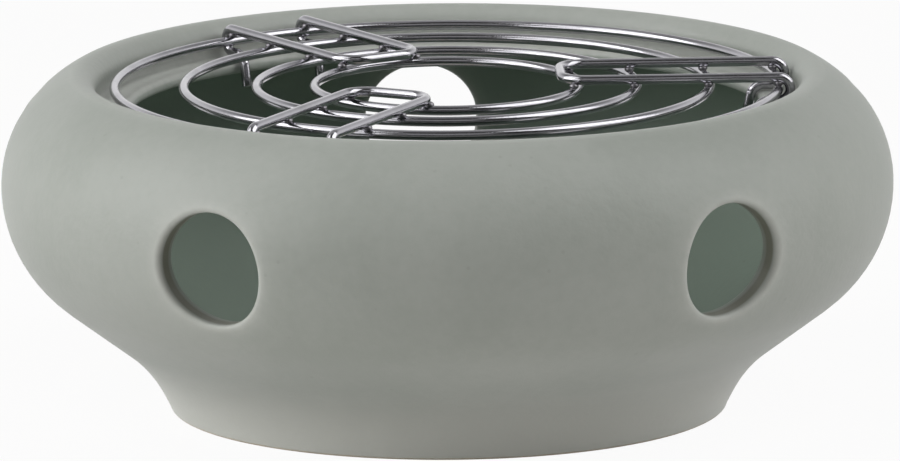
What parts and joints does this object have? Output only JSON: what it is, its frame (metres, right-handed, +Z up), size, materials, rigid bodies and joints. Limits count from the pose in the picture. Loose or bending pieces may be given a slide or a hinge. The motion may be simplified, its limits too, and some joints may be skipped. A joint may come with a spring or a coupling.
{
  "type": "teapot warmer",
  "caption": "Round stoneware teapot warmer with a bulging vented wall, a short foot, a lift-off chromed wire rack set into the rim and a tealight inside.",
  "frame": {"origin": "on the table, under the middle of the foot ring", "axes": "+Z up along the bowl's axis, -Y to the front as the picture shows it, +X to the right"},
  "size_m": [0.16, 0.1597, 0.0611],
  "materials": {
    "stoneware": "satin-matt sage grey glaze",
    "chromed_wire": "bright chrome plate on steel wire",
    "cup": "bright drawn foil",
    "tinplate": "plain",
    "wax": "waxy white",
    "cotton": "waxed braid"
  },
  "bodies": {
    "bowl": {"ceramic_bowl": "stoneware"},
    "rack": {"outer_ring": "chromed_wire", "second_ring": "chromed_wire", "third_ring": "chromed_wire", "inner_ring": "chromed_wire", "right_hairpin": "chromed_wire", "back_hairpin": "chromed_wire", "front_hairpin": "chromed_wire"},
    "tealight": {"tealight_cup": "cup", "tealight_wax": "wax", "wick_sustainer": "tinplate", "tealight_wick": "cotton"}
  },
  "joints": [
    {"name": "rack_lift", "type": "slide", "parent": "bowl", "child": "rack", "axis": [0, 0, 1], "range_m": [0, 0.08]},
    {"name": "tealight_lift", "type": "slide", "parent": "bowl", "child": "tealight", "axis": [0, 0, 1], "range_m": [0, 0.025]}
  ]
}
